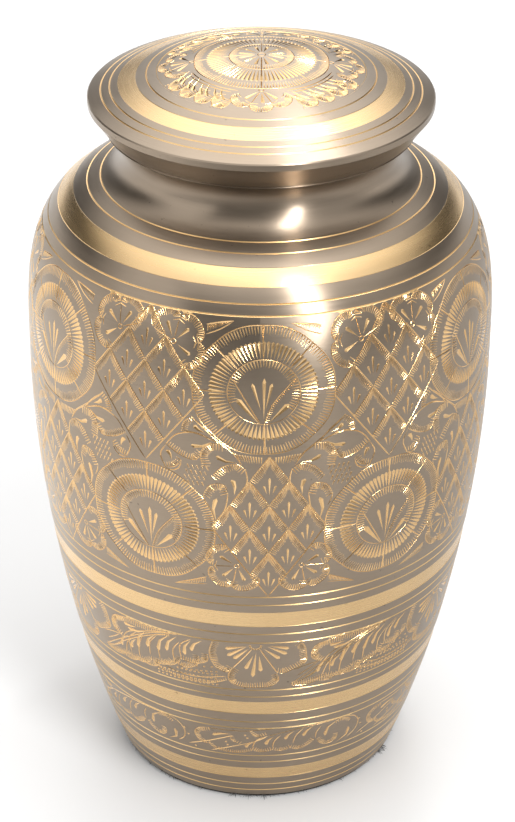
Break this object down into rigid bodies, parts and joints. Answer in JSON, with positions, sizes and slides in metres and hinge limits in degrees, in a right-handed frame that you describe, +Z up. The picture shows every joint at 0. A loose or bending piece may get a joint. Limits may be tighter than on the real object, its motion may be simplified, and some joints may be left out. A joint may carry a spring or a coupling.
{
  "type": "cremation urn",
  "caption": "Hollow brass cremation urn with a tapered body, short waisted neck and a domed lid that lifts off; stands on a felt-covered foot.",
  "frame": {"origin": "centre of the underside, on the surface the urn stands on", "axes": "+Z up along the axis of the urn; -Y towards the viewer of the side shown, +X to that viewer's right"},
  "size_m": [0.1548, 0.1548, 0.2594],
  "materials": {
    "brushed_nickel": "spun brass plated with warm grey nickel, brushed in the lathe, with bands, lines and engraving cut through to pale gold brass",
    "black_felt": "thin matt black felt"
  },
  "bodies": {
    "root": {"body": "brushed_nickel", "lid": "brushed_nickel", "felt_pad": "black_felt"}
  },
  "joints": []
}
